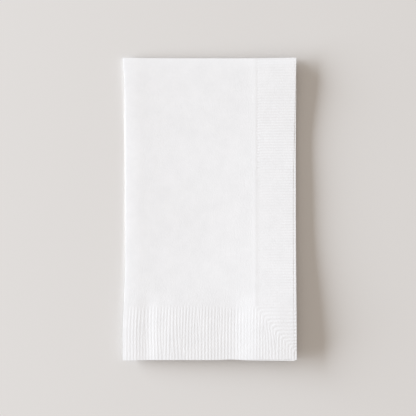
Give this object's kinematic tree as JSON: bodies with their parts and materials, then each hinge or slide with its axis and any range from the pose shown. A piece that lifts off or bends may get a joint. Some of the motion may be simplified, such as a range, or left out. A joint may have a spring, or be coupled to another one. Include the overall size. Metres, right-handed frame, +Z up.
{
  "type": "paper hand towel",
  "caption": "Soft white paper hand towel folded flat into a long pad, with a ribbed border pressed along its front edge and its open side.",
  "frame": {"origin": "middle of the folded towel's footprint, on the surface it lies on", "axes": "+X towards the open side, +Y towards the half fold, +Z up out of the flap"},
  "size_m": [0.113, 0.197, 0.0052],
  "materials": {
    "paper": "matt"
  },
  "bodies": {
    "root": {"folded_towel": "paper"}
  },
  "joints": []
}
